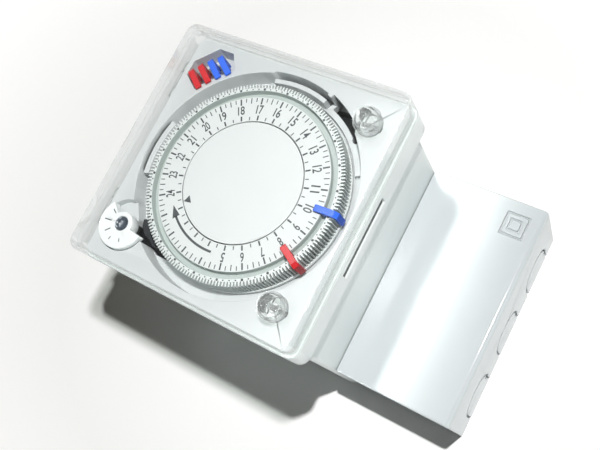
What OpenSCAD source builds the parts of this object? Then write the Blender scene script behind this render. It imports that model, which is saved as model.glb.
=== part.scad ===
// Mechanical 24 hour time switch in a surface-mounting case, lying on its back.
// X and Y are centred on the dial, Z = 0 is the wall face, +Z comes out of the dial.
// The terminal compartment lies towards -Y.

/* [Front] */
// Width and height of the square front
front_w = 72; // [70:0.5:74]
// Corner radius of the front
front_r = 3.2; // [2:0.1:4]
// Height of the clear cover's face above the wall
cover_top_z = 69.9; // [69:0.1:71]
// Height of the seam between frame and clear cover
seam_z = 61.6; // [61.4:0.1:61.7]
// Height of the underside of the front frame
frame_z = 52.9; // [52.6:0.1:53]
// Height of the dial plate's face
plate_z = 63.6; // [63.4:0.1:63.8]
// Wall thickness of the clear cover's sides
cover_wall = 1; // [0.8:0.1:1.1]
// Thickness of the clear cover's face
cover_face = 1.5; // [1:0.1:1.8]

/* [Dial] */
// Radius of the round well that the dial turns in
well_r = 32.6; // [32.2:0.1:32.8]
// Radius over the rim's splines
rim_r = 28.8; // [28.5:0.1:28.9]
// Inner radius of the splined rim
rim_in_r = 26.8; // [26.6:0.1:27]
// Outer radius of the hour scale
scale_r = 24.9; // [24.5:0.1:25]
// Radius of the fixed centre disc
disc_r = 17.4; // [17:0.1:17.5]
// Number of splines on the rim, eight to the hour
splines = 192; // [96:96:192]
// Turn of the dial that puts the 24 hour mark where it stands at rest
dial_turn = 120.5; // [0:0.5:360]
// Hour at which the red rider is set
red_hour = 8; // [5:0.125:9]
// Hour at which the blue rider is set
blue_hour = 10.125; // [9.75:0.125:24]

/* [Case] */
// Width of the case behind the front
case_w = 67; // [66:0.5:67]
// Length of the case along Y
case_d = 67.5; // [67:0.5:67.5]
// Wall thickness of the case
case_wall = 2; // [1.8:0.1:2]
// Thickness of the case's back
back_t = 2.5; // [2:0.1:2.5]
// Spacing of the wall screws across the case
wall_pitch_x = 48; // [47:1:49]
// Spacing of the wall screws along the case
wall_pitch_y = 86; // [85:1:86]
// Radius of a wall screw hole
wall_hole_r = 2.2; // [2:0.1:2.4]

/* [Terminals] */
// Far end of the terminal cover
cover_end_y = -69.1; // [-70:0.1:-69]
// Width of the terminal cover
tcover_w = 65.7; // [65:0.1:66]
// Height of the terminal cover
tcover_h = 25.35; // [25:0.05:26]
// Number of terminals
terminals = 4; // [3:1:4]
// Distance between terminals
terminal_pitch = 13; // [12:0.5:13]

/* [Hidden] */
$fn = 64;
cover_half = front_w / 2;
plate_half = cover_half - cover_wall - 0.3;
plate_under = seam_z;              // underside of the dial plate
well_wall = 1;
well_floor_z = 56.8;
well_floor_t = 1.2;
frame_in = 34;                     // half the opening of the front frame
frame_ledge = 31;                  // half the opening of its ledge
frame_ledge_t = 1.2;

// Dial
dial_top = 63.9;
dial_web_z = 57.4;
scale_top = 63.8;
scale_t = 0.7;
channel_z = 61.6;
spline_depth = 1.2;
flange_r = 29.1;
flange_t = 1;
sleeve_r = 3.5;
spindle_r = 1.5;
run = 0.05;                        // radial clearance of a running fit
sleeve_z = [46, 61];

// Riders
rider_w = 1.8;
rider_len = 7;
rider_r = 22.9;                    // where a rider's inner tip sits on the dial
rider_t = 1.3;
rider_leg = 5.3;
rider_gap = 0.1;
pocket_floor_z = 58.4;
pocket_angles = [34, 55.5];
pocket_r = 34.4;
pocket_cut = 60.5;                 // the pocket's outer edge is x + y = pocket_cut
pocket_lim = 33.2;
spare_angle = [53, 47.6, 42.2, 36.8];
spare_dir = 54;
spare_r = 33.4;                    // where the spare riders' inner tips stand

// Override knob and switch lever
knob_at = [-24, 27];
knob_r = 7.2;
knob_hub_r = 3.4;
knob_dimple_r = 2.1;
knob_sector = [50, 262];
knob_recess_r = 7.5;
recess_floor_z = 61;
knob_top_z = 65;
stem_r = 1.2;
lever_at = [-25, 13];
lever_pin_r = 1;
lever_hub_r = 1.9;
lever_r = 30.3;                    // the lever's nose stays outside the riders
lever_nose_z = [57.2, 60.4];
lever_arm_z = [53.5, 55.3];
lever_finger_z = [40, 42.4];
window = [[-27.2, 11.4], [-27.2, 17.4], [-26.2, 19.4], [-25.7, 24.6], [-23.4, 25.2], [-20, 25.2],
    [-18.9, 26.2], [-18.9, 11.4]];

// Movement
plate_t = 1.2;
rear_plate_z = 30;
front_plate_z = 52;
move_half = 30;
move_clip = 52;                    // the plates' corners are cut at x + y = move_clip
pillar_at = [23, 26];
pillar_r = 2;
boss_angles = [45, 105, 225, 315];
boss_at = 24;
arbor_r = 0.75;
clock_teeth = 72;
clock_m = 0.5;
second_teeth = 60;
first_teeth = 50;
train_m = 0.4;
pinion_teeth = 10;
second_dir = 35;
first_dir = -75;
motor_dir = -160;
second_d = (clock_teeth + pinion_teeth) * clock_m / 2;
first_d = (second_teeth + pinion_teeth) * train_m / 2;
motor_d = (first_teeth + pinion_teeth) * train_m / 2;
second_at = polar(second_d, second_dir);
first_at = second_at + polar(first_d, first_dir);
motor_at = first_at + polar(motor_d, motor_dir);
clock_z = [48, 49.5];
second_z = [44, 45.2];
first_z = [40, 41.2];
motor_r = 19;
motor_z = [14, 30];
motor_wall = 0.8;

// Switch
switch_box = [[-22.3, -9, 38], [10, 20, 6.4]];
plunger_y = 6;

// Case corners
corner_at = 29.2;
corner_r = 2.6;
case_screw_r = 1.2;

// Clear cover hinge and posts
hinge_y = cover_half;
hinge_r = 0.85;
hinge_notch_r = 1.05;
hinge_pin_r = 0.4;
hinge_mid = 21;
knuckle_w = 5.6;
ear_w = 2.4;
post_x = 26.3;
post_y = -26.4;
post_r = 2.95;
post_shank_r = 0.9;
bar_len = 5;
bar_w = 0.8;

// Terminal block
base_half = 31;
base_end_y = -67.2;
block_y = [-60, -37];
block_half = 28;
block_h = 15;
wire_z = 9;
wire_r = 2.2;
clamp_w = 8;
tcover_wall = 1.6;
tcover_face = 1.8;
tcover_y0 = -case_d / 2 - 0.15;
knock_x = [-20.5, 0, 20.5];
knock_r = 6.7;
knock_z = 5.5;
knock_groove_w = 0.5;
mark_at = [25.7, -62.1];
mark_half = 3.4;

// ---- shared shapes ----

function polar(r, a) = [r * cos(a), r * sin(a)];
function hour_angle(h) = dial_turn + 15 * h;
function terminal_x(i) = (i - (terminals - 1) / 2) * terminal_pitch;

module round_rect(w, d, r) {
    square([w - 2 * r, d], center = true);
    square([w, d - 2 * r], center = true);
    for (x = [-1, 1], y = [-1, 1])
        translate([x * (w / 2 - r), y * (d / 2 - r)])
            circle(r);
}

module slab(w, d, r, z0, z1) {
    translate([0, 0, z0])
        linear_extrude(z1 - z0)
            round_rect(w, d, r);
}

module tube(ro, ri, z0, z1) {
    translate([0, 0, z0])
        difference() {
            cylinder(r = ro, h = z1 - z0);
            translate([0, 0, -1])
                cylinder(r = ri, h = z1 - z0 + 2);
        }
}

module rod(r, z0, z1) {
    translate([0, 0, z0])
        cylinder(r = r, h = z1 - z0);
}

module box_at(p0, p1) {
    translate(p0)
        cube(p1 - p0);
}

// Wedge-shaped outline from angle a0 to a1, out to radius r
module wedge(a0, a1, r) {
    steps = 12;
    polygon(concat([[0, 0]], [for (i = [0 : steps]) polar(r, a0 + (a1 - a0) * i / steps)]));
}

// Toothed outline with straight flanks and generous backlash
module gear_outline(n, m, phase) {
    pitch_r = n * m / 2;
    root = pitch_r - 0.9 * m;
    tip = pitch_r + 0.6 * m;
    step = 360 / n;
    polygon([for (i = [0 : n - 1], k = [0 : 3])
        polar(k == 0 || k == 3 ? root : tip, phase + step * (i + [-0.24, -0.1, 0.1, 0.24][k]))]);
}

module gear(n, m, phase, z0, z1) {
    translate([0, 0, z0])
        linear_extrude(z1 - z0)
            gear_outline(n, m, phase);
}

// ---- clip-on riders, drawn with the inner tip at the origin, pointing out along +X ----

module rider() {
    translate([0, rider_w / 2, 0])
        rotate([90, 0, 0])
            linear_extrude(rider_w)
                polygon([[0, 0.35], [0, 0.9], [0.5, rider_t], [rider_len - 1.1, rider_t],
                    [rider_len, 0.5], [rider_len, -rider_leg], [rider_len - 0.95, -rider_leg],
                    [rider_len - 0.95, 0], [3.4, 0], [3.2, -1.9], [2.5, -1.9], [2.3, 0], [0.4, 0]]);
}

module dial_rider(h) {
    rotate([0, 0, hour_angle(h)])
        translate([rider_r, 0, dial_top + rider_gap])
            rider();
}

module spare_rider(a) {
    p = polar(spare_r, a);
    translate([p[0], p[1], pocket_floor_z + rider_leg])
        rotate([0, 0, spare_dir])
            rider();
}

// ---- case and front ----

module rear_case() {
    color("whitesmoke") {
        difference() {
            union() {
                slab(case_w, case_d, 2, 0, frame_z);
                box_at([-base_half, base_end_y, 0], [base_half, -case_d / 2 + 1, back_t]);
            }
            difference() {
                slab(case_w - 2 * case_wall, case_d - 2 * case_wall, 1, back_t, frame_z + 1);
                for (x = [-1, 1], y = [-1, 1])
                    translate([x * corner_at, y * corner_at, 0])
                        rod(corner_r, back_t, frame_z + 1);
            }
            for (x = [-1, 1], y = [-1, 1])
                translate([x * corner_at, y * corner_at, 0])
                    rod(case_screw_r, frame_z - 9, frame_z + 1);
            for (x = [-1, 1], y = [-1, 1])
                translate([x * wall_pitch_x / 2, -19 + y * wall_pitch_y / 2, 0])
                    rod(wall_hole_r, -1, back_t + 1);
            for (i = [0 : terminals - 1])
                box_at([terminal_x(i) - 2.7, -case_d / 2 - 1, wire_z + 2.8],
                    [terminal_x(i) + 2.7, -case_d / 2 + case_wall + 1, wire_z + 4.2]);
        }
    }
}

module front_frame() {
    color("gainsboro")
        difference() {
            slab(front_w, front_w, front_r, frame_z, seam_z);
            slab(2 * frame_in, 2 * frame_in, 2, frame_z + frame_ledge_t, seam_z + 1);
            difference() {
                slab(2 * frame_ledge, 2 * frame_ledge, 1, frame_z - 1, seam_z);
                for (x = [-1, 1], y = [-1, 1])
                    translate([x * 31, y * 31, 0])
                        box_at([-4.6, -4.6, frame_z - 2], [4.6, 4.6, seam_z + 1]);
            }
            for (x = [-1, 1], y = [-1, 1])
                translate([x * corner_at, y * corner_at, 0])
                    rod(case_screw_r + 0.15, frame_z - 1, frame_z + 3);
            for (s = [-1, 1])
                translate([s * hinge_mid, hinge_y, seam_z])
                    rotate([0, 90, 0])
                        cylinder(r = hinge_pin_r, h = knuckle_w + 1 + 2 * ear_w, center = true);
            // finger recess for lifting the clear cover
            translate([-11.2, 0, 0])
                rotate([90, 0, 90])
                    linear_extrude(22.4)
                        polygon([[-cover_half - 1, 54.8], [-cover_half, 55.8], [-35.4, 56.4],
                            [-35.4, 54.6], [-33, 54.6], [-33, 58.9], [-cover_half - 1, 58.9]]);
            for (s = [-1, 1])
                translate([s * hinge_mid, hinge_y, seam_z])
                    rotate([0, 90, 0])
                        cylinder(r = hinge_notch_r, h = knuckle_w + 0.4, center = true);
        }
    color("gainsboro")
        for (s = [-1, 1], e = [-1, 1])
            translate([s * hinge_mid + e * (knuckle_w / 2 + 0.2 + ear_w / 2), hinge_y, seam_z])
                rotate([0, 90, 0])
                    difference() {
                        cylinder(r = hinge_r, h = ear_w, center = true);
                        cylinder(r = hinge_pin_r, h = ear_w + 1, center = true);
                    }
}

module frame_screws() {
    color("silver")
        for (x = [-1, 1], y = [-1, 1])
            translate([x * corner_at, y * corner_at, 0])
                difference() {
                    union() {
                        rod(case_screw_r - 0.02, frame_z - 8, frame_z + frame_ledge_t);
                        rod(1.8, frame_z + frame_ledge_t, frame_z + frame_ledge_t + 1.4);
                    }
                    translate([0, 0, frame_z + frame_ledge_t + 1.2])
                        cube([3.2, 0.5, 1], center = true);
                }
}

module pocket_outline(lim, r, cut, a0, a1) {
    intersection() {
        difference() {
            wedge(a0, a1, 60);
            circle(r);
        }
        polygon([[0, 0], [lim, 0], [lim, cut - lim], [cut - lim, lim], [0, lim]]);
    }
}

module dial_plate() {
    color("white")
        difference() {
            union() {
                slab(2 * plate_half, 2 * plate_half, 2.2, plate_under, plate_z);
                rod(well_r + well_wall, well_floor_z - well_floor_t, plate_z);
                translate([0, 0, pocket_floor_z - 1])
                    linear_extrude(plate_z - pocket_floor_z + 1)
                        pocket_outline(pocket_lim + 0.7, well_r + 0.5, pocket_cut + 1,
                            pocket_angles[0] - 1.5, pocket_angles[1] + 1.5);
                intersection() {
                    translate([knob_at[0], knob_at[1], 0])
                        rod(knob_recess_r + 0.8, recess_floor_z - 1, plate_z);
                    slab(2 * frame_in - 0.2, 2 * frame_in - 0.2, 2, recess_floor_z - 2, plate_z);
                }
                for (a = boss_angles)
                    rotate([0, 0, a])
                        translate([boss_at, 0, 0])
                            rod(2.2, front_plate_z + plate_t, well_floor_z - well_floor_t + 0.1);
            }
            // the well, with raised arcs left standing beside the dial
            difference() {
                rod(well_r, well_floor_z, plate_z + 1);
                raised_arc(74, 105, 30.3, 31.9, 62.2);
                raised_arc(-62, 8, 29.6, well_r + 0.2, 58.3);
                raised_arc(-19, 13, 30.3, 31.6, 62);
            }
            // slots behind those arcs: the first runs under the plate, the others open it
            well_slot(31.9, 33.8, 76, 103, plate_under);
            well_slot(31.6, 33, -19, 12.8, plate_z + 1);
            well_slot(31.3, 33.7, -43, -21.5, plate_z + 1);
            rotate([0, 0, -43])
                translate([31.9, 0, 0])
                    rod(1.1, well_floor_z - 3, plate_z + 1);
            rod(sleeve_r + 1.5, well_floor_z - 3, well_floor_z + 1);
            translate([0, 0, pocket_floor_z])
                linear_extrude(plate_z)
                    pocket_outline(pocket_lim, pocket_r, pocket_cut, pocket_angles[0],
                        pocket_angles[1]);
            translate([knob_at[0], knob_at[1], 0])
                rod(knob_recess_r, recess_floor_z, plate_z + 1);
            translate([knob_at[0], knob_at[1], 0])
                rod(stem_r + run, recess_floor_z - 6, recess_floor_z + 1);
            translate([0, 0, well_floor_z - 3])
                linear_extrude(plate_z)
                    polygon(window);
            translate([lever_at[0], lever_at[1], 0])
                rod(lever_pin_r, well_floor_z - 3, well_floor_z - 0.4);
            for (s = [-1, 1])
                translate([s * post_x, post_y, 0]) {
                    rod(post_shank_r + 0.3, plate_under - 1, plate_z + 1);
                    translate([0, 0, plate_z])
                        cube([bar_w + 0.6, bar_len + 0.8, 8], center = true);
                }
            for (a = boss_angles)
                rotate([0, 0, a])
                    translate([boss_at, 0, 0])
                        rod(0.9, front_plate_z, well_floor_z - 0.6);
        }
}

module raised_arc(a0, a1, r0, r1, top) {
    translate([0, 0, well_floor_z - 1])
        linear_extrude(top - well_floor_z + 1)
            difference() {
                intersection() {
                    circle(r1);
                    wedge(a0, a1, 60);
                }
                circle(r0);
            }
}

module well_slot(r0, r1, a0, a1, top) {
    translate([0, 0, well_floor_z - 3])
        linear_extrude(top - well_floor_z + 3)
            intersection() {
                difference() {
                    circle(r1);
                    circle(r0);
                }
                wedge(a0, a1, 60);
            }
}

// ---- dial ----

module dial_spindle() {
    color("silver")
        rod(spindle_r, rear_plate_z, scale_top - 0.8);
}

module centre_disc() {
    color("ghostwhite")
        difference() {
            union() {
                rod(disc_r, scale_top - 0.9, scale_top);
                rod(2.5, sleeve_z[1] + 0.2, scale_top - 0.5);
            }
            rod(spindle_r, sleeve_z[1] - 1, scale_top - 0.8);
        }
}

module dial_wheel() {
    step = 360 / splines;
    color("white")
        difference() {
            union() {
                translate([0, 0, dial_web_z + flange_t])
                    linear_extrude(dial_top - dial_web_z - flange_t)
                        polygon([for (i = [0 : splines - 1], k = [0 : 3])
                            polar(k == 0 || k == 3 ? rim_r - spline_depth : rim_r,
                                dial_turn + step * (i + [-0.32, -0.16, 0.16, 0.32][k]))]);
                rod(flange_r, dial_web_z, dial_web_z + flange_t);
                rod(sleeve_r, sleeve_z[0], sleeve_z[1]);
                rod(5, clock_z[1] + 0.1, clock_z[1] + 1.1);
            }
            // hollow behind the hour scale
            tube(scale_r - 1.2, sleeve_r, dial_web_z + 1.2, channel_z);
            rod(disc_r + 0.4, sleeve_z[1], dial_top + 1);
            tube(disc_r + 0.5, sleeve_r, dial_web_z + 1.2, dial_top);
            // seat of the hour scale
            rod(scale_r, scale_top - scale_t, dial_top + 1);
            // channel that the riders hook into
            tube(rim_in_r, scale_r, channel_z, dial_top + 1);
            tube(rim_in_r, scale_r, dial_web_z - 1, channel_z - 1);
            rod(spindle_r + run, sleeve_z[0] - 1, dial_top + 1);
        }
}

module hour_scale() {
    color("white")
        tube(scale_r, disc_r + 0.3, scale_top - scale_t, scale_top);
}

module clutch_collar() {
    color("goldenrod")
        tube(5, sleeve_r, sleeve_z[0], sleeve_z[0] + 1);
}

module clutch_spring() {
    color("silver")
        rotate_extrude()
            polygon([[sleeve_r + 0.1, 47], [5, 47], [6.2, 47.55], [6.2, 47.85], [4.9, 47.35],
                [sleeve_r + 0.1, 47.35]]);
}

module red_rider() {
    color("red")
        dial_rider(red_hour);
}

module blue_rider() {
    color("royalblue")
        dial_rider(blue_hour);
}

module spare_red_riders() {
    color("red")
        for (i = [0, 1])
            spare_rider(spare_angle[i]);
}

module spare_blue_riders() {
    color("royalblue")
        for (i = [2, 3])
            spare_rider(spare_angle[i]);
}

// ---- movement ----

module clock_wheel() {
    color("burlywood")
        difference() {
            union() {
                gear(clock_teeth, clock_m, second_dir, clock_z[0], clock_z[1]);
                rod(5.5, clock_z[0], clock_z[1]);
            }
            rod(sleeve_r + run, clock_z[0] - 1, clock_z[1] + 1);
            for (a = [0 : 72 : 359])
                rotate([0, 0, a])
                    translate([11, 0, 0])
                        rod(3.6, clock_z[0] - 1, clock_z[1] + 1);
        }
}

module second_wheel() {
    color("ivory")
        translate([second_at[0], second_at[1], 0])
            difference() {
                union() {
                    gear(second_teeth, train_m, first_dir, second_z[0], second_z[1]);
                    gear(pinion_teeth, clock_m, second_dir + 180 + 18, 47.6, 50);
                    rod(1.8, second_z[0] - 1, 47.7);
                }
                rod(arbor_r + run, 40, 52);
            }
}

module first_wheel() {
    color("ivory")
        translate([first_at[0], first_at[1], 0])
            difference() {
                union() {
                    gear(first_teeth, train_m, motor_dir, first_z[0], first_z[1]);
                    gear(pinion_teeth, train_m, first_dir + 180 + 18, 43.4, 46);
                    rod(1.5, first_z[0] - 1, 43.5);
                }
                rod(arbor_r + run, 38, 48);
            }
}

module gear_arbors() {
    color("silver")
        for (p = [first_at, second_at])
            translate([p[0], p[1], 0])
                rod(arbor_r, rear_plate_z + 0.2, front_plate_z + plate_t);
}

module movement_outline() {
    c = move_clip - move_half;
    polygon([[c, -move_half], [move_half, -c], [move_half, c], [c, move_half], [-c, move_half],
        [-move_half, c], [-move_half, -c], [-c, -move_half]]);
}

module pillar_places() {
    for (x = [-1, 1], y = [-1, 1])
        translate([x * pillar_at[0], y * pillar_at[1], 0])
            children();
}

module movement_front_plate() {
    color("dimgray")
        difference() {
            translate([0, 0, front_plate_z])
                linear_extrude(plate_t)
                    movement_outline();
            rod(sleeve_r + 1.5, front_plate_z - 1, front_plate_z + 3);
            for (p = [first_at, second_at])
                translate([p[0], p[1], 0])
                    rod(arbor_r, front_plate_z - 1, front_plate_z + 3);
            translate([lever_at[0], lever_at[1], 0])
                rod(lever_hub_r + 0.5, front_plate_z - 1, front_plate_z + 3);
            pillar_places()
                rod(1, front_plate_z - 1, front_plate_z + 3);
            for (a = boss_angles)
                rotate([0, 0, a])
                    translate([boss_at, 0, 0])
                        rod(0.9, front_plate_z - 1, front_plate_z + 3);
        }
}

module movement_rear_plate() {
    color("silver")
        difference() {
            translate([0, 0, rear_plate_z])
                linear_extrude(plate_t)
                    movement_outline();
            rod(spindle_r, rear_plate_z - 1, rear_plate_z + 3);
            for (p = [first_at, second_at])
                translate([p[0], p[1], 0])
                    rod(arbor_r, rear_plate_z + 0.2, rear_plate_z + 3);
            translate([motor_at[0], motor_at[1], 0])
                rod(3, rear_plate_z - 1, rear_plate_z + 3);
            pillar_places()
                rod(1, rear_plate_z - 1, rear_plate_z + 3);
        }
}

module movement_pillars() {
    color("silver")
        pillar_places() {
            rod(pillar_r, rear_plate_z + plate_t, front_plate_z);
            rod(1, rear_plate_z, front_plate_z + plate_t);
        }
}

module movement_screws() {
    color("silver")
        for (a = boss_angles)
            rotate([0, 0, a])
                translate([boss_at, 0, 0]) {
                    rod(0.9, front_plate_z, well_floor_z - 0.8);
                    rod(1.7, front_plate_z - 1.2, front_plate_z);
                }
}

// ---- synchronous motor ----

module at_motor() {
    translate([motor_at[0], motor_at[1], 0])
        children();
}

module motor_can() {
    color("silver")
        at_motor()
            difference() {
                rod(motor_r, motor_z[0], motor_z[1]);
                rod(motor_r - motor_wall, motor_z[0] + motor_wall, motor_z[1] - motor_wall);
                rod(3, motor_z[1] - 2, motor_z[1] + 1);
            }
}

module motor_coil() {
    color("peru")
        at_motor()
            tube(17.4, 10.4, 15.6, 22);
}

module motor_stator() {
    color("gray")
        at_motor() {
            tube(9.8, 8.4, 15.2, 22.4);
            tube(17.6, 8.4, 22.4, 23.2);
        }
}

module motor_rotor() {
    color("dimgray")
        at_motor() {
            difference() {
                rod(7.8, 16, 22);
                rod(5, 20, 23);
            }
            rod(0.7, 15.3, 23.6);
        }
}

module motor_gearbox() {
    color("ivory")
        at_motor()
            difference() {
                rod(17, 24, motor_z[1] - motor_wall);
                rod(1.6, 23, motor_z[1] + 1);
            }
}

module motor_pinion() {
    color("goldenrod")
        at_motor() {
            gear(pinion_teeth, train_m, motor_dir + 180 + 18, 39.4, 41.8);
            rod(0.9, 25, 39.5);
        }
}

// ---- override knob, switch lever and switch ----

module override_knob() {
    color("white")
        translate([knob_at[0], knob_at[1], 0])
            difference() {
                union() {
                    rod(knob_hub_r, recess_floor_z + 0.1, knob_top_z);
                    translate([0, 0, recess_floor_z + 1.2])
                        linear_extrude(knob_top_z - recess_floor_z - 1.2)
                            intersection() {
                                circle(knob_r);
                                wedge_wide();
                            }
                    rod(stem_r, 57.2, recess_floor_z + 0.2);
                }
                rod(knob_dimple_r, knob_top_z - 2, knob_top_z + 1);
            }
}

// The part of the knob's disc that is left, cut away on the dial's side
module wedge_wide() {
    mid = (knob_sector[0] + knob_sector[1]) / 2;
    wedge(knob_sector[0], mid + 1, 20);
    wedge(mid - 1, knob_sector[1], 20);
}

module knob_clip() {
    color("silver")
        translate([knob_at[0], knob_at[1], 0])
            tube(2.2, stem_r, 58, 58.7);
}

module switch_lever() {
    steps = 8;
    nose = concat([for (i = [0 : steps]) polar(lever_r, 147 - 17 * i / steps)],
        [[-20, 24.3], [-22, 23.6], [-23.9, 21.6], [-24.7, 19], [-25.7, 17.6]]);
    color([0.1, 0.1, 0.12]) {
        translate([0, 0, lever_nose_z[0]])
            linear_extrude(lever_nose_z[1] - lever_nose_z[0])
                polygon(nose);
        box_at([-24.4, 18.6, lever_arm_z[0]], [-21.8, 21, lever_nose_z[0] + 0.1]);
        difference() {
            union() {
                translate([0, 0, lever_arm_z[0]])
                    linear_extrude(lever_arm_z[1] - lever_arm_z[0])
                        polygon([[-28, 10], [-28, 26], [-18, 26], [-18, 10]]);
                translate([lever_at[0], lever_at[1], 0])
                    rod(lever_hub_r, lever_finger_z[0] - 0.6, lever_arm_z[1]);
                box_at([-26, 5, lever_finger_z[0]], [-24, 13, lever_finger_z[1]]);
            }
            translate([lever_at[0], lever_at[1], 0])
                rod(lever_pin_r + run, 30, 60);
        }
    }
}

module lever_pin() {
    color("silver")
        translate([lever_at[0], lever_at[1], 0]) {
            rod(lever_pin_r, rear_plate_z + plate_t, well_floor_z - 0.4);
            rod(2.2, rear_plate_z + plate_t, lever_finger_z[0] - 1.2);
        }
}

module lever_spring() {
    color("silver")
        translate([lever_at[0], lever_at[1], 0]) {
            for (i = [0 : 5])
                translate([0, 0, 44 + i * 0.6])
                    rotate_extrude()
                        translate([2.6, 0])
                            circle(0.32);
            translate([-2.6, 0, 44])
                rotate([-90, 0, 0])
                    cylinder(r = 0.3, h = 9);
        }
}

module switch_body() {
    a = switch_box[0];
    s = switch_box[1];
    color([0.12, 0.12, 0.13])
        difference() {
            union() {
                translate(a)
                    cube(s);
                for (y = [-5, 7])
                    translate([-17.3, y, 0])
                        rod(1.6, rear_plate_z + plate_t, a[2] + 0.1);
            }
            translate(a + [1, 1, 1])
                cube(s - [2, 2, 2]);
            translate([a[0] - 1, plunger_y, 41.2])
                rotate([0, 90, 0])
                    cylinder(r = 0.85, h = 3);
            for (z = [39.6, 41.2, 42.8])
                box_at([-19, a[1] - 1, z - 0.25], [-16, a[1] + 2, z + 0.25]);
        }
}

module switch_plunger() {
    color("crimson")
        translate([-23.9, plunger_y, 41.2])
            rotate([0, 90, 0])
                cylinder(r = 0.8, h = 3.4);
}

module switch_blade() {
    color("goldenrod")
        box_at([-19.2, -6, 40], [-18.9, 9.5, 42.4]);
}

module switch_terminals() {
    color("goldenrod")
        for (z = [39.6, 41.2, 42.8])
            box_at([-19, -13, z - 0.25], [-16, -6.5, z + 0.25]);
}

// ---- terminals ----

module busbars() {
    color("goldenrod")
        for (i = [0 : terminals - 1]) {
            x = terminal_x(i);
            box_at([x - 2.2, -44, wire_z + 3.1], [x + 2.2, -30.3, wire_z + 3.9]);
            box_at([x - 2.2, -31.1, wire_z + 3.1], [x + 2.2, -30.3, 28]);
        }
}

module terminal_block() {
    color("lightgray")
        difference() {
            box_at([-block_half, block_y[0], back_t], [block_half, block_y[1], back_t + block_h]);
            for (i = [0 : terminals - 1])
                translate([terminal_x(i), 0, 0]) {
                    box_at([-clamp_w / 2, -54, 4], [clamp_w / 2, -42, back_t + block_h + 1]);
                    translate([0, block_y[0] - 1, wire_z])
                        rotate([-90, 0, 0])
                            cylinder(r = wire_r + 0.6, h = 9);
                    box_at([-2.6, -45, wire_z + 2.9], [2.6, block_y[1] + 1, wire_z + 4.1]);
                }
            for (i = [0 : terminals])
                box_at([terminal_x(i - 0.5) - 0.6, block_y[0] - 1, 12],
                    [terminal_x(i - 0.5) + 0.6, block_y[1] + 1, back_t + block_h + 1]);
        }
}

module terminal_clamps() {
    color("goldenrod")
        for (i = [0 : terminals - 1])
            translate([terminal_x(i), 0, 0])
                difference() {
                    box_at([-clamp_w / 2 + 0.2, -53.8, 4], [clamp_w / 2 - 0.2, -44.2, 14.4]);
                    translate([0, -55, wire_z])
                        rotate([-90, 0, 0])
                            cylinder(r = wire_r, h = 14);
                    translate([0, -49, 0])
                        rod(1.75, wire_z, 16);
                }
}

module terminal_screws() {
    color("silver")
        for (i = [0 : terminals - 1])
            translate([terminal_x(i), -49, 0])
                difference() {
                    union() {
                        rod(1.75, wire_z + wire_r + 0.1, 14.5);
                        rod(3, 14.5, 17);
                    }
                    translate([0, 0, 17])
                        cube([7, 0.8, 2], center = true);
                }
}

module terminal_cover() {
    w = tcover_w / 2;
    color("whitesmoke")
        difference() {
            union() {
                difference() {
                    box_at([-w, cover_end_y, 0], [w, tcover_y0, tcover_h]);
                    box_at([-w + tcover_wall, cover_end_y + tcover_wall, -1],
                        [w - tcover_wall, tcover_y0 + 1, tcover_h - tcover_face]);
                }
                square_mark(mark_half);
                square_mark(mark_half - 1.6);
            }
            // chamfer along the far top edge
            translate([0, cover_end_y, tcover_h])
                rotate([45, 0, 0])
                    cube([tcover_w + 2, 1.4, 1.4], center = true);
            // outlines of the three cable knock-outs
            for (x = knock_x)
                translate([x, cover_end_y - 1, knock_z])
                    rotate([-90, 0, 0])
                        linear_extrude(1.7)
                            knock_groove();
            for (x = knock_x)
                box_at([x + knock_r - 0.9, cover_end_y - 1, knock_z - 1.4],
                    [x + knock_r + 0.3, cover_end_y + tcover_wall + 1, knock_z + 0.4]);
        }
}

// An arch with straight legs, drawn upside down because it is turned about X
module knock_groove() {
    difference() {
        union() {
            circle(knock_r);
            translate([-knock_r, 0])
                square([2 * knock_r, knock_z + 1]);
        }
        circle(knock_r - knock_groove_w);
        translate([-knock_r + knock_groove_w, 0])
            square([2 * (knock_r - knock_groove_w), knock_z + 2]);
    }
}

// Raised outline of a square on the terminal cover
module square_mark(h) {
    translate([mark_at[0], mark_at[1], tcover_h - 1])
        linear_extrude(1.08)
            difference() {
                square(2 * h, center = true);
                square(2 * h - 0.8, center = true);
            }
}

// ---- clear cover ----

module clear_cover() {
    inner = front_w - 2 * cover_wall;
    color([0.85, 0.93, 0.95, 0.35])
        difference() {
            union() {
                difference() {
                    slab(front_w, front_w, front_r, seam_z + 0.05, cover_top_z);
                    slab(inner, inner, front_r - cover_wall, seam_z - 1, cover_top_z - cover_face);
                }
                for (s = [-1, 1])
                    translate([s * post_x, post_y, 0])
                        rod(3.6, 65, cover_top_z - 0.1);
                for (s = [-1, 1])
                    translate([s * hinge_mid, hinge_y, seam_z])
                        rotate([0, 90, 0])
                            cylinder(r = hinge_r, h = knuckle_w, center = true);
            }
            for (s = [-1, 1])
                translate([s * post_x, post_y, 0])
                    rod(post_r + 0.1, 60, cover_top_z + 1);
            for (s = [-1, 1], e = [-1, 1])
                translate([s * hinge_mid + e * (knuckle_w / 2 + 0.2 + ear_w / 2), hinge_y, seam_z])
                    rotate([0, 90, 0])
                        cylinder(r = hinge_notch_r, h = ear_w + 0.4, center = true);
            for (s = [-1, 1])
                translate([s * hinge_mid, hinge_y, seam_z])
                    rotate([0, 90, 0])
                        cylinder(r = hinge_pin_r + run, h = knuckle_w + 1, center = true);
        }
}

module cover_hinge_pins() {
    color("silver")
        for (s = [-1, 1])
            translate([s * hinge_mid, hinge_y, seam_z])
                rotate([0, 90, 0])
                    cylinder(r = hinge_pin_r, h = knuckle_w + 0.4 + 2 * ear_w, center = true);
}

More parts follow.
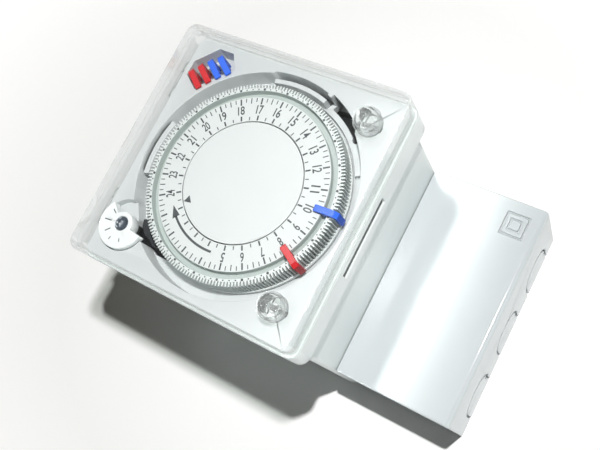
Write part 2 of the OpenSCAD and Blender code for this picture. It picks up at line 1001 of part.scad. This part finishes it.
module cover_post(s) {
    color([0.9, 0.95, 0.97, 0.4])
        translate([s * post_x, post_y, 0])
            difference() {
                union() {
                    rod(post_r, plate_z + 0.4, cover_top_z - 0.2);
                    rod(post_shank_r, plate_under - 1.6, plate_z + 0.5);
                    box_at([-bar_w / 2, -bar_len / 2, plate_under - 1.6],
                        [bar_w / 2, bar_len / 2, plate_under - 0.6]);
                }
                translate([0, 0, cover_top_z - 0.2])
                    cube([4.4, 0.9, 2.4], center = true);
                rod(1.5, plate_z + 1.4, cover_top_z - 2.6);
            }
}

module left_cover_post() {
    cover_post(-1);
}

module right_cover_post() {
    cover_post(1);
}

// ---- what is drawn ----

rear_case();
front_frame();
frame_screws();
dial_plate();
dial_spindle();
centre_disc();
dial_wheel();
hour_scale();
clutch_collar();
clutch_spring();
red_rider();
blue_rider();
spare_red_riders();
spare_blue_riders();
clock_wheel();
second_wheel();
first_wheel();
gear_arbors();
movement_front_plate();
movement_rear_plate();
movement_pillars();
movement_screws();
motor_can();
motor_coil();
motor_stator();
motor_rotor();
motor_gearbox();
motor_pinion();
override_knob();
knob_clip();
switch_lever();
lever_pin();
lever_spring();
switch_body();
switch_plunger();
switch_blade();
switch_terminals();
busbars();
terminal_block();
terminal_clamps();
terminal_screws();
terminal_cover();
clear_cover();
cover_hinge_pins();
left_cover_post();
right_cover_post();
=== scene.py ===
import math

import bmesh
import bpy
from mathutils import Matrix, Vector


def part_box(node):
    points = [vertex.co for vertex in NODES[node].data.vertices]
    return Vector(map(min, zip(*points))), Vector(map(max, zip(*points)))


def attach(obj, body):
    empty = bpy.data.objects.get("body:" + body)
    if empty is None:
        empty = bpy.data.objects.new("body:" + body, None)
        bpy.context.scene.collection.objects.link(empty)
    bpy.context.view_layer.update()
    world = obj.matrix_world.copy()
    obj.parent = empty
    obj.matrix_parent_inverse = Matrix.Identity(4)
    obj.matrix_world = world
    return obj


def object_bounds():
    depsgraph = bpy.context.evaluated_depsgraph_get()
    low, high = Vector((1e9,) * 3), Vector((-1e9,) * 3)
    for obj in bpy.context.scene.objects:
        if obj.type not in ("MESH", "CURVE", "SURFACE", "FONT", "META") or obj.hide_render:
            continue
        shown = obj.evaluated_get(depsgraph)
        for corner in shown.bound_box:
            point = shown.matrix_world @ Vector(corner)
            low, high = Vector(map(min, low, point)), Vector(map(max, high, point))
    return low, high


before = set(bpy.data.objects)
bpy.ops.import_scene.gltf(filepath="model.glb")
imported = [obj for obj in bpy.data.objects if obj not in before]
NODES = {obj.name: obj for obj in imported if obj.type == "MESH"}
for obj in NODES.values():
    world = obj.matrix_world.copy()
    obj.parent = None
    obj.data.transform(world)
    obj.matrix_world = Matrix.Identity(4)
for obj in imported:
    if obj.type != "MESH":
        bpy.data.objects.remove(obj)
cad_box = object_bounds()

# A 24 hour time switch. Lengths are in metres, angles in degrees about Z.

MM = 0.001

# ---- places: heights and radii come from the frame ----

DISC_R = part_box("centre_disc")[1].x
DISC_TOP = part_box("centre_disc")[1].z
SCALE_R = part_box("hour_scale")[1].x
SCALE_IN = DISC_R + 0.3 * MM      # inner edge of the hour scale
SCALE_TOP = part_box("hour_scale")[1].z
RIM_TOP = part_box("dial_wheel")[1].z
CHANNEL_W = 1.95 * MM             # channel between the hour scale and the rim, which is painted with shade
SKIN = 0.05 * MM                  # slack when faces are picked by their place
CENTRE = Vector((0, 0))           # the dial's axis

# ---- the print on the dial ----

DIAL_TURN = 120.5                 # where the 24 hour mark stands at rest
HOUR = 15.0                       # degrees to the hour
QUARTERS = 96                     # quarter hours in a day
INDEX_ANGLE = 130.3               # where the time of day is read
INK_T = 0.03 * MM                 # half the thickness of a printed mark
TICK_OUT = 24.6 * MM              # outer end of the marks at the scale's edge
ARROW_R = 20.5 * MM
NUMBER_R = 21.15 * MM
NUMBER_HIGH = 2.6 * MM
DIGIT_WIDE = 1.0 * MM
DOT_R = 27.2 * MM
NUMBERS = range(5, 25)            # the arrow stands in the place of 1 to 4


def polar(r, degrees):
    """The point at this radius and angle."""
    a = math.radians(degrees)
    return Vector((r * math.cos(a), r * math.sin(a)))


def hour_angle(hour):
    return DIAL_TURN + HOUR * hour


# ---- material nodes ----

def new_material(name):
    mat = bpy.data.materials.new(name)
    mat.use_nodes = True
    tree = mat.node_tree
    return mat, tree, tree.nodes["Principled BSDF"]


def darker(color, factor):
    return tuple(c * factor for c in color)


def noise(tree, scale, detail=3.0, stretch=None):
    """Noise fixed to the piece, drawn out along an axis by stretch."""
    coord = tree.nodes.new("ShaderNodeTexCoord").outputs["Object"]
    tex = tree.nodes.new("ShaderNodeTexNoise")
    tex.inputs["Scale"].default_value = scale
    tex.inputs["Detail"].default_value = detail
    if stretch:
        mapping = tree.nodes.new("ShaderNodeMapping")
        mapping.inputs["Scale"].default_value = stretch
        tree.links.new(coord, mapping.inputs["Vector"])
        coord = mapping.outputs["Vector"]
    tree.links.new(coord, tex.inputs["Vector"])
    return tex.outputs["Fac"]


def map_range(tree, source, low, high, start=0.0, end=1.0):
    """Source, as it goes from start to end, mapped to low to high."""
    node = tree.nodes.new("ShaderNodeMapRange")
    node.inputs["From Min"].default_value = start
    node.inputs["From Max"].default_value = end
    node.inputs["To Min"].default_value = low
    node.inputs["To Max"].default_value = high
    tree.links.new(source, node.inputs["Value"])
    return node.outputs["Result"]


def ramp(tree, source, low, high):
    """The middle range of a noise mapped to low to high."""
    return map_range(tree, source, low, high, 0.3, 0.7)


def tint(tree, source, dark, light):
    """Colour between dark and light; dark is a colour or the output of a node."""
    node = tree.nodes.new("ShaderNodeMix")
    node.data_type = "RGBA"
    if isinstance(dark, tuple):
        node.inputs["A"].default_value = (*dark, 1)
    else:
        tree.links.new(dark, node.inputs["A"])
    node.inputs["B"].default_value = (*light, 1)
    tree.links.new(source, node.inputs["Factor"])
    return node.outputs["Result"]


def bump(tree, source, shader, strength, distance):
    node = tree.nodes.new("ShaderNodeBump")
    node.inputs["Strength"].default_value = strength
    node.inputs["Distance"].default_value = distance
    tree.links.new(source, node.inputs["Height"])
    tree.links.new(node.outputs["Normal"], shader.inputs["Normal"])


def see_through(tree, color=None):
    node = tree.nodes.new("ShaderNodeBsdfTransparent")
    if color:
        tree.links.new(color, node.inputs["Color"])
    return node.outputs["BSDF"]


def mix_shaders(tree, factor, first, second):
    node = tree.nodes.new("ShaderNodeMixShader")
    tree.links.new(factor, node.inputs["Fac"])
    tree.links.new(first, node.inputs[1])
    tree.links.new(second, node.inputs[2])
    return node.outputs["Shader"]


# ---- materials ----

def plastic(name, color, rough=0.38, vary=0.015, depth=0.05, ior=1.5):
    """Moulded plastic: faint mottling, paler worn edges and a fine moulded grain."""
    mat, tree, shader = new_material(name)
    light = tuple(min(1, c * (1 + vary * 0.5)) for c in color)
    mottle = ramp(tree, noise(tree, 90.0, 4.0), 0, 1)
    body = tint(tree, mottle, darker(color, 1 - vary), light)
    edge = tree.nodes.new("ShaderNodeNewGeometry").outputs["Pointiness"]
    worn = tuple(min(1, c * 1.06 + 0.01) for c in color)
    wear = map_range(tree, edge, 0, 1, 0.52, 0.6)
    tree.links.new(tint(tree, wear, body, worn), shader.inputs["Base Color"])
    sheen = ramp(tree, noise(tree, 260.0), rough - 0.01, rough + 0.01)
    tree.links.new(sheen, shader.inputs["Roughness"])
    shader.inputs["IOR"].default_value = ior
    bump(tree, noise(tree, 5200.0, 2.0), shader, depth, 0.02 * MM)
    return mat


def metal(name, color, rough=0.3):
    """Metal with fine drawn or turned lines."""
    mat, tree, shader = new_material(name)
    shader.inputs["Metallic"].default_value = 1
    lines = noise(tree, 1500.0, 3.0, (1, 1, 12))
    tone = tint(tree, ramp(tree, lines, 0, 1), darker(color, 0.82), color)
    tree.links.new(tone, shader.inputs["Base Color"])
    tree.links.new(ramp(tree, lines, rough - 0.08, rough + 0.1), shader.inputs["Roughness"])
    bump(tree, lines, shader, 0.1, 0.02 * MM)
    return mat


def winding(name, color):
    """Enamelled copper wire wound round Z."""
    mat, tree, shader = new_material(name)
    coord = tree.nodes.new("ShaderNodeTexCoord")
    wave = tree.nodes.new("ShaderNodeTexWave")
    wave.bands_direction = "Z"
    wave.inputs["Scale"].default_value = 1200.0
    wave.inputs["Distortion"].default_value = 0.4
    tree.links.new(coord.outputs["Object"], wave.inputs["Vector"])
    tone = tint(tree, wave.outputs["Fac"], darker(color, 0.4), color)
    tree.links.new(tone, shader.inputs["Base Color"])
    shader.inputs["Roughness"].default_value = 0.3
    shader.inputs["Metallic"].default_value = 0.7
    bump(tree, wave.outputs["Fac"], shader, 0.6, 0.05 * MM)
    return mat


def ink(name, color):
    """Printing ink, slightly uneven."""
    mat, tree, shader = new_material(name)
    patches = ramp(tree, noise(tree, 1600.0), 0, 1)
    tree.links.new(tint(tree, patches, darker(color, 0.75), color), shader.inputs["Base Color"])
    tree.links.new(ramp(tree, noise(tree, 900.0), 0.45, 0.6), shader.inputs["Roughness"])
    return mat


def clear(name, haze, side_haze, side, shade, shiny=0.4):
    """Clear moulded plastic: lets light straight through, less so where its sides are crossed.

    haze and side_haze say how cloudy its flat faces and its sides are, side is painted shade
    that darkens what is seen through the sides, shade tints their shadow, and shiny is the strength
    of its reflections.
    """
    mat, tree, shader = new_material(name)
    coord = tree.nodes.new("ShaderNodeTexCoord")
    split = tree.nodes.new("ShaderNodeSeparateXYZ")
    tree.links.new(coord.outputs["Normal"], split.inputs["Vector"])
    upright = tree.nodes.new("ShaderNodeMath")
    upright.operation = "ABSOLUTE"
    tree.links.new(split.outputs["Z"], upright.inputs[0])
    flat = upright.outputs["Value"]     # 1 on the flat faces, 0 on the sides

    shine = tree.nodes.new("ShaderNodeBsdfGlossy")
    tree.links.new(ramp(tree, noise(tree, 60.0), 0.04, 0.07), shine.inputs["Roughness"])
    fresnel = tree.nodes.new("ShaderNodeFresnel")
    fresnel.inputs["IOR"].default_value = 1.4
    weak = tree.nodes.new("ShaderNodeMath")
    weak.operation = "MULTIPLY"
    weak.inputs[1].default_value = shiny
    tree.links.new(fresnel.outputs["Fac"], weak.inputs[0])
    # painted shade: what is seen through the sides is darkened by the side colour
    see = see_through(tree, tint(tree, flat, side, (1, 1, 1)))
    glass = mix_shaders(tree, weak.outputs["Value"], see, shine.outputs["BSDF"])

    shader.inputs["Base Color"].default_value = (0.90, 0.93, 0.925, 1)
    shader.inputs["Roughness"].default_value = 0.3
    cloud = map_range(tree, flat, side_haze, haze)
    hazy = mix_shaders(tree, cloud, glass, shader.outputs["BSDF"])

    path = tree.nodes.new("ShaderNodeLightPath")
    shadow = see_through(tree, tint(tree, flat, shade, (1, 1, 1)))
    surface = mix_shaders(tree, path.outputs["Is Shadow Ray"], hazy, shadow)
    tree.links.new(surface, tree.nodes["Material Output"].inputs["Surface"])
    return mat


MATS = {
    "case": plastic("case_plastic", (0.67, 0.715, 0.71), 0.36),
    "frame": plastic("frame_plastic", (0.68, 0.715, 0.71), 0.3),
    "tcover": plastic("terminal_cover_plastic", (0.50, 0.53, 0.545), 0.16, 0.008, depth=0.02),
    "plate": plastic("dial_plate_plastic", (0.57, 0.595, 0.60), 0.34),
    "dial": plastic("dial_plastic", (0.66, 0.70, 0.69), 0.36),
    "scale": plastic("scale_plastic", (0.66, 0.69, 0.685), 0.4),
    # painted shade: the channel round the hour scale gets this darker grey-green in place of the
    # shade that falls in it
    "channel": plastic("channel_painted_shade", (0.42, 0.475, 0.455), 0.45),
    "knob": plastic("knob_plastic", (0.84, 0.87, 0.87), 0.35),
    "pin": plastic("pin_plastic", (0.05, 0.065, 0.085), 0.22, 0.2),
    "red": plastic("red_plastic", (0.60, 0.003, 0.01), 0.35, 0.1, ior=1.4),
    "blue": plastic("blue_plastic", (0.02, 0.13, 0.80), 0.35, 0.1, ior=1.4),
    "black": plastic("black_plastic", (0.006, 0.007, 0.01), 0.5, 0.2, ior=1.3),
    "gear": plastic("gear_plastic", (0.78, 0.72, 0.55), 0.4),
    "block": plastic("block_plastic", (0.60, 0.62, 0.61), 0.5),
    "magnet": plastic("magnet_black", (0.04, 0.04, 0.045), 0.5, 0.2),
    "steel": metal("bright_steel", (0.66, 0.67, 0.69), 0.28),
    "spring": metal("spring_steel", (0.55, 0.56, 0.58), 0.25),
    "can": metal("drawn_steel", (0.62, 0.63, 0.65), 0.34),
    "brass": metal("brass", (0.78, 0.58, 0.25), 0.3),
    "coil": winding("copper_wire", (0.72, 0.32, 0.14)),
    # the first colour given to each clear material is painted shade on what is seen through its
    # sides; on the rounded edges (clear_edge) it is grey enough to draw dark lines along the cover's
    # edges
    "clear": clear("clear_plastic", 0.003, 0.12, (0.985, 0.99, 0.99), (0.62, 0.64, 0.62)),
    "clear_edge": clear("clear_edge_plastic", 0.22, 0.22, (0.80, 0.82, 0.82), (0.7, 0.72, 0.7), 1.0),
    "post": clear("post_plastic", 0.08, 0.08, (0.93, 0.95, 0.94), (0.8, 0.82, 0.8), 1.0),
    "ink": ink("dark_ink", (0.025, 0.03, 0.035)),
    "thin_ink": ink("grey_ink", (0.06, 0.07, 0.075)),
}

# ---- finish of the CAD nodes ----

FINISH = {
    "rear_case": "case", "front_frame": "frame", "frame_screws": "steel", "dial_plate": "plate",
    "dial_spindle": "steel", "centre_disc": "scale", "dial_wheel": "dial", "hour_scale": "scale",
    "clutch_collar": "brass", "clutch_spring": "spring", "red_rider": "red",
    "blue_rider": "blue", "spare_red_riders": "red", "spare_blue_riders": "blue",
    "clock_wheel": "gear", "second_wheel": "gear", "first_wheel": "gear",
    "gear_arbors": "steel", "movement_front_plate": "black", "movement_rear_plate": "steel",
    "movement_pillars": "brass", "movement_screws": "steel", "motor_can": "can",
    "motor_coil": "coil", "motor_stator": "can", "motor_rotor": "magnet",
    "motor_gearbox": "gear", "motor_pinion": "brass", "override_knob": "knob",
    "knob_clip": "spring", "switch_lever": "black", "lever_pin": "steel",
    "lever_spring": "spring", "switch_body": "black", "switch_plunger": "red",
    "switch_blade": "brass", "switch_terminals": "brass", "busbars": "brass",
    "terminal_block": "block", "terminal_clamps": "brass", "terminal_screws": "steel",
    "terminal_cover": "tcover", "clear_cover": "clear", "cover_hinge_pins": "steel",
    "left_cover_post": "post", "right_cover_post": "post",
}

# Rounding of the edges, in mm; a node that isn't named here keeps its sharp edges
ROUND = {
    "rear_case": 0.3, "front_frame": 0.35, "dial_plate": 0.12, "centre_disc": 0.12,
    "hour_scale": 0.08, "red_rider": 0.14, "blue_rider": 0.14, "spare_red_riders": 0.14,
    "spare_blue_riders": 0.14, "override_knob": 0.22, "switch_lever": 0.15,
    "terminal_cover": 0.35, "clear_cover": 0.28, "left_cover_post": 0.15,
    "right_cover_post": 0.15, "terminal_block": 0.15, "motor_can": 0.3, "dial_wheel": 0.06,
}


def grey_channel(obj):
    """Paints shade into the channel round the hour scale: its faces there get the darker channel
    colour.
    """
    obj.data.materials.append(MATS["channel"])
    for poly in obj.data.polygons:
        spot = obj.matrix_world @ poly.center
        reach = math.hypot(spot.x, spot.y)
        if SCALE_R - SKIN < reach < SCALE_R + CHANNEL_W and spot.z < RIM_TOP - SKIN:
            poly.material_index = 1


def round_edges(obj, width):
    weld = obj.modifiers.new("weld", "WELD")
    weld.merge_threshold = 0.001 * MM
    soft = obj.modifiers.new("rounding", "BEVEL")
    soft.width = width
    soft.segments = 2
    soft.limit_method = "ANGLE"
    soft.angle_limit = math.radians(40)
    soft.use_clamp_overlap = False
    soft.harden_normals = True
    return soft


def finish_node(name):
    """Material and edge rounding of one CAD node; its mesh keeps its shape."""
    obj = NODES[name]
    mesh = obj.data
    mesh.materials.clear()
    mesh.materials.append(MATS[FINISH[name]])
    for poly in mesh.polygons:
        poly.material_index = 0
    if name == "dial_wheel":
        grey_channel(obj)
    if name in ROUND:
        soft = round_edges(obj, ROUND[name] * MM)
        if name == "clear_cover":
            mesh.materials.append(MATS["clear_edge"])
            soft.material = 1


# ---- pieces made here ----

def add_mesh(name, bm, body, mat, smooth=False):
    """The finished bmesh as a piece that rides on this body."""
    mesh = bpy.data.meshes.new(name)
    bm.to_mesh(mesh)
    bm.free()
    mesh.materials.append(MATS[mat])
    for poly in mesh.polygons:
        poly.use_smooth = smooth
    obj = bpy.data.objects.new(name, mesh)
    bpy.context.scene.collection.objects.link(obj)
    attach(obj, body)


def slab(bm, outline, low, high):
    """A flat solid with this outline."""
    count = len(outline)
    bottom = [bm.verts.new((p[0], p[1], low)) for p in outline]
    top = [bm.verts.new((p[0], p[1], high)) for p in outline]
    bm.faces.new(top)
    bm.faces.new(list(reversed(bottom)))
    for i in range(count):
        j = (i + 1) % count
        bm.faces.new((bottom[i], bottom[j], top[j], top[i]))


def mark(bm, outline, surface):
    """A printed mark that lies half in the surface at this height."""
    slab(bm, outline, surface - INK_T, surface + INK_T)


def tick(bm, centre, angle, r0, r1, width, surface):
    """A printed stroke that points at the centre, from radius r0 to r1."""
    side = polar(width / 2, angle + 90)
    a = centre + polar(r0, angle)
    b = centre + polar(r1, angle)
    mark(bm, [a - side, b - side, b + side, a + side], surface)


def scale_print():
    """Hour, half-hour and quarter-hour marks at the outer and inner edges of the hour scale."""
    bm = bmesh.new()
    # outer mark's start, inner mark's start and end (none on the quarters), width
    hour = (22.7 * MM, 0.2 * MM, 1.65 * MM, 0.46 * MM)
    half = (23.0 * MM, 0.25 * MM, 1.25 * MM, 0.27 * MM)
    quarter = (23.4 * MM, 0, 0, 0.25 * MM)
    for count in range(QUARTERS):
        angle = hour_angle(count / 4)
        start, near, far, width = (hour, quarter, half, quarter)[count % 4]
        tick(bm, CENTRE, angle, start, TICK_OUT, width, SCALE_TOP)
        if far:
            tick(bm, CENTRE, angle, SCALE_IN + near, SCALE_IN + far, width, SCALE_TOP)
    add_mesh("scale_marks", bm, "dial", "ink")


def scale_arrow():
    """The curved arrow that shows which way the dial turns."""
    bm = bmesh.new()
    half = 0.33 * MM
    barb = 1.15 * MM
    start, end, point = hour_angle(4.3), hour_angle(1.3), hour_angle(0.68)
    steps = 24
    angles = [start + (end - start) * i / steps for i in range(steps + 1)]
    outer = [polar(ARROW_R + half, a) for a in angles]
    inner = [polar(ARROW_R - half, a) for a in angles]
    for i in range(steps):
        mark(bm, [outer[i], inner[i], inner[i + 1], outer[i + 1]], SCALE_TOP)
    back = end + 0.8                # the head overlaps the stroke by this angle
    head = [polar(ARROW_R + barb, back), polar(ARROW_R - barb, back),
            polar(ARROW_R - 0.1 * MM, point)]
    mark(bm, head, SCALE_TOP)
    add_mesh("scale_arrow", bm, "dial", "ink")


def number_mesh(text):
    """A number as an upright flat solid, with its middle and its size."""
    curve = bpy.data.curves.new("number", "FONT")
    curve.body = text
    curve.size = 1.0
    curve.extrude = 0.01
    curve.offset = 0.016            # makes the strokes bolder
    curve.space_character = 0.95
    holder = bpy.data.objects.new("number", curve)
    bpy.context.scene.collection.objects.link(holder)
    bpy.context.view_layer.update()
    depsgraph = bpy.context.evaluated_depsgraph_get()
    mesh = bpy.data.meshes.new_from_object(holder.evaluated_get(depsgraph))
    bpy.data.objects.remove(holder)
    spans = [[v.co[axis] for v in mesh.vertices] for axis in range(2)]
    middle = [(max(span) + min(span)) / 2 for span in spans]
    size = [max(span) - min(span) for span in spans]
    return mesh, middle, size, INK_T / curve.extrude


def scale_numbers():
    """The hour numbers, with their tops outwards."""
    bm = bmesh.new()
    for hour in NUMBERS:
        text = str(hour)
        mesh, middle, size, thin = number_mesh(text)
        angle = hour_angle(hour)
        spot = polar(NUMBER_R, angle)
        fit = Matrix.Diagonal((DIGIT_WIDE * len(text) / size[0], NUMBER_HIGH / size[1], thin, 1))
        place = (Matrix.Translation((spot.x, spot.y, SCALE_TOP))
                 @ Matrix.Rotation(math.radians(angle - 90), 4, "Z") @ fit
                 @ Matrix.Translation((-middle[0], -middle[1], 0)))
        mesh.transform(place)
        bm.from_mesh(mesh)
        bpy.data.meshes.remove(mesh)
    add_mesh("scale_numbers", bm, "dial", "ink")


def rim_dots():
    """A dot at every quarter hour on the rim, larger on the hour."""
    bm = bmesh.new()
    sides = 14
    for count in range(QUARTERS):
        spot = polar(DOT_R, hour_angle(count / 4))
        r = (0.36 if count % 4 == 0 else 0.2) * MM
        mark(bm, [spot + polar(r, 360 * i / sides) for i in range(sides)], RIM_TOP)
    add_mesh("rim_dots", bm, "dial", "ink")


def index_mark():
    """The triangle on the fixed disc that the time of day is read at."""
    bm = bmesh.new()
    tip = polar(DISC_R - 0.1 * MM, INDEX_ANGLE)
    back = polar(DISC_R - 2.1 * MM, INDEX_ANGLE)
    side = polar(1.15 * MM, INDEX_ANGLE + 90)
    mark(bm, [tip, back + side, back - side], DISC_TOP)
    add_mesh("index_mark", bm, "case", "ink")


def lathe(bm, centre, profile, steps=48):
    """A turned solid about Z: profile is a list of (radius, height) from axis to axis."""
    spokes = [polar(1, 360 * i / steps) for i in range(steps)]
    rings = []
    for r, z in profile:
        turns = spokes if r else [Vector((0, 0))]
        rings.append([bm.verts.new((centre.x + r * s.x, centre.y + r * s.y, z)) for s in turns])
    for low, high in zip(rings, rings[1:]):
        for i in range(steps):
            j = (i + 1) % steps
            if len(low) == 1:
                bm.faces.new((low[0], high[j], high[i]))
            elif len(high) == 1:
                bm.faces.new((low[i], low[j], high[0]))
            else:
                bm.faces.new((low[i], low[j], high[j], high[i]))


def knob_parts():
    """Dark dished pin in the knob's middle, and the marks on its face."""
    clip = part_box("knob_clip")
    centre = ((clip[0] + clip[1]) / 2).xy
    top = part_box("override_knob")[1].z
    floor = top - 1.95 * MM
    bm = bmesh.new()
    lathe(bm, centre, [(0, floor), (2.02 * MM, floor), (2.02 * MM, top - 0.25 * MM),
                       (1.86 * MM, top - 0.2 * MM), (1.5 * MM, top - 0.75 * MM),
                       (0.9 * MM, top - 1.1 * MM), (0, top - 1.2 * MM)])
    add_mesh("knob_pin", bm, "knob", "pin", smooth=True)
    bm = bmesh.new()
    # angle, start, end and width of each mark, in mm
    strokes = ((59, 3.6, 5.2, 0.3), (97, 3.3, 5.6, 0.34), (136, 3.4, 5.2, 0.3),
               (168, 4.6, 5.6, 0.26), (205, 4.4, 5.4, 0.26))
    for angle, start, end, width in strokes:
        tick(bm, centre, angle, start * MM, end * MM, width * MM, top)
    add_mesh("knob_marks", bm, "knob", "thin_ink")


# ---- floor ----

FLOOR_HALF = 4.0                  # the floor reaches this far from the object
FLOOR_LIFT = 0.02 * MM            # keeps the floor out of the plane of the case's underside
GLOW_FROM, GLOW_TO = 0.1, 0.45    # where the glow starts and is full


def floor_paint():
    """White paper that glows away from the object, and can be looked through from below."""
    mat, tree, shader = new_material("floor_paint")
    paper = tint(tree, noise(tree, 8.0), (0.985, 0.99, 0.99), (0.995, 1.0, 1.0))
    tree.links.new(paper, shader.inputs["Base Color"])
    shader.inputs["Roughness"].default_value = 0.9
    coord = tree.nodes.new("ShaderNodeTexCoord")
    reach = tree.nodes.new("ShaderNodeVectorMath")
    reach.operation = "LENGTH"
    tree.links.new(coord.outputs["Object"], reach.inputs[0])
    glow = map_range(tree, reach.outputs["Value"], 0, 1, GLOW_FROM, GLOW_TO)
    tree.links.new(glow, shader.inputs["Emission Strength"])
    shader.inputs["Emission Color"].default_value = (1, 1, 1, 1)
    below = tree.nodes.new("ShaderNodeNewGeometry").outputs["Backfacing"]
    surface = mix_shaders(tree, below, shader.outputs["BSDF"], see_through(tree))
    tree.links.new(surface, tree.nodes["Material Output"].inputs["Surface"])
    return mat


def stage():
    """The floor that the object stands on."""
    bm = bmesh.new()
    z = cad_box[0].z + FLOOR_LIFT
    corners = [Vector((1, 1)), Vector((-1, 1)), Vector((-1, -1)), Vector((1, -1))]
    bm.faces.new([bm.verts.new((c.x * FLOOR_HALF, c.y * FLOOR_HALF, z)) for c in corners])
    mesh = bpy.data.meshes.new("floor")
    bm.to_mesh(mesh)
    bm.free()
    mesh.materials.append(floor_paint())
    floor = bpy.data.objects.new("floor", mesh)
    bpy.context.scene.collection.objects.link(floor)
    return floor


# ---- light ----

KEY_SPOT = (0.041, -0.102, 0.346)
MIDDLE = (0, 0, 0)
COOL = (0.93, 1.0, 0.99)
WARM = (1.0, 0.6, 0.05)
STRIP_POWER = 80                  # watts for each metre of a strip's width


def studio():
    """Dim surroundings that look white to the camera and pale grey in reflections."""
    world = bpy.data.worlds.new("studio")
    world.use_nodes = True
    tree = world.node_tree
    back = tree.nodes["Background"]
    back.inputs["Color"].default_value = (0.93, 0.97, 0.96, 1)
    path = tree.nodes.new("ShaderNodeLightPath")
    level = map_range(tree, path.outputs["Is Glossy Ray"], 0.008, 0.35)
    seen = tree.nodes.new("ShaderNodeMath")
    seen.operation = "ADD"
    tree.links.new(level, seen.inputs[0])
    tree.links.new(path.outputs["Is Camera Ray"], seen.inputs[1])
    tree.links.new(seen.outputs["Value"], back.inputs["Strength"])
    bpy.context.scene.world = world
    bpy.context.scene.view_settings.view_transform = "Standard"


def key_lamp():
    """One hard lamp close above the object, which does not fade with distance."""
    key = bpy.data.lights.new("key", "POINT")
    key.energy = 38
    key.shadow_soft_size = 0.005
    key.color = (1.0, 0.995, 0.985)
    key.use_nodes = True
    tree = key.node_tree
    fade = tree.nodes.new("ShaderNodeLightFalloff")
    fade.inputs["Strength"].default_value = 1.0
    tree.links.new(fade.outputs["Constant"], tree.nodes["Emission"].inputs["Strength"])
    lamp = bpy.data.objects.new("key", key)
    lamp.location = KEY_SPOT
    bpy.context.scene.collection.objects.link(lamp)


def panel(name, spot, aim, power, size, color, off=None, only=None, long=None):
    """A flat lamp at spot that faces aim.

    It leaves out the object given as off, or lights nothing but the object given as only.
    """
    data = bpy.data.lights.new(name, "AREA")
    data.energy = power
    data.size = size
    data.color = color
    if long:
        data.shape = "RECTANGLE"
        data.size_y = long
    holder = bpy.data.objects.new(name, data)
    holder.location = spot
    holder.rotation_euler = (Vector(spot) - Vector(aim)).to_track_quat("Z", "Y").to_euler()
    bpy.context.scene.collection.objects.link(holder)
    if off or only:
        group = bpy.data.collections.new(name + "_list")
        group.objects.link(off or only)
        holder.light_linking.receiver_collection = group
        if off:
            group.collection_objects[0].light_linking.link_state = "EXCLUDE"
    return holder


def light(floor):
    """Key lamp, soft fills that spare the floor, and the reflections on the terminal cover."""
    studio()
    key_lamp()
    dome = panel("dome", (0, 0, 1.0), MIDDLE, 2.4, 1.2, COOL, off=floor)
    dome.visible_glossy = False
    panel("fill", (-0.1, -0.62, 0.2), (0, -0.02, 0.03), 1.2, 0.5, COOL, off=floor)
    panel("bounce", (0, 0, 1.0), MIDDLE, 0.2, 1.2, WARM, only=floor)
    panel("side", (-0.6, 0.35, 0.25), (0, 0, 0.03), 0.5, 0.5, COOL, off=floor)
    panel("under", (0.2, 0.3, -0.9), MIDDLE, 4.0, 0.8, COOL)
    # two long strips whose reflections lie along the terminal cover
    for name, y, wide in (("strip_a", 0.089, 0.022), ("strip_b", 0.062, 0.014)):
        strip = panel(name, (0.06, y, 0.425), (0.06, y, 0), STRIP_POWER * wide, 0.6, COOL, long=wide)
        strip.visible_diffuse = False


# ---- camera, solved from the perspective of the front's corners and the case's edges ----

CAMERA_SPOT = (-0.03396, -0.10997, 0.24751)
CAMERA_RIGHT = (0.455, -0.828, -0.327)
CAMERA_BACK = (-0.143, -0.4305, 0.891)


def camera():
    """The photograph's point of view."""
    data = bpy.data.cameras.new("camera")
    data.sensor_width = 36
    data.lens = 48.66
    data.clip_start = 0.01
    cam = bpy.data.objects.new("camera", data)
    right = Vector(CAMERA_RIGHT).normalized()
    back = Vector(CAMERA_BACK).normalized()
    up = back.cross(right).normalized()
    right = up.cross(back).normalized()
    turn = Matrix((right, up, back)).transposed().to_4x4()
    cam.matrix_world = Matrix.Translation(CAMERA_SPOT) @ turn
    bpy.context.scene.collection.objects.link(cam)
    bpy.context.scene.camera = cam


# ---- build ----

for node_name in NODES:
    finish_node(node_name)
scale_print()
scale_arrow()
scale_numbers()
rim_dots()
index_mark()
knob_parts()
light(stage())
camera()
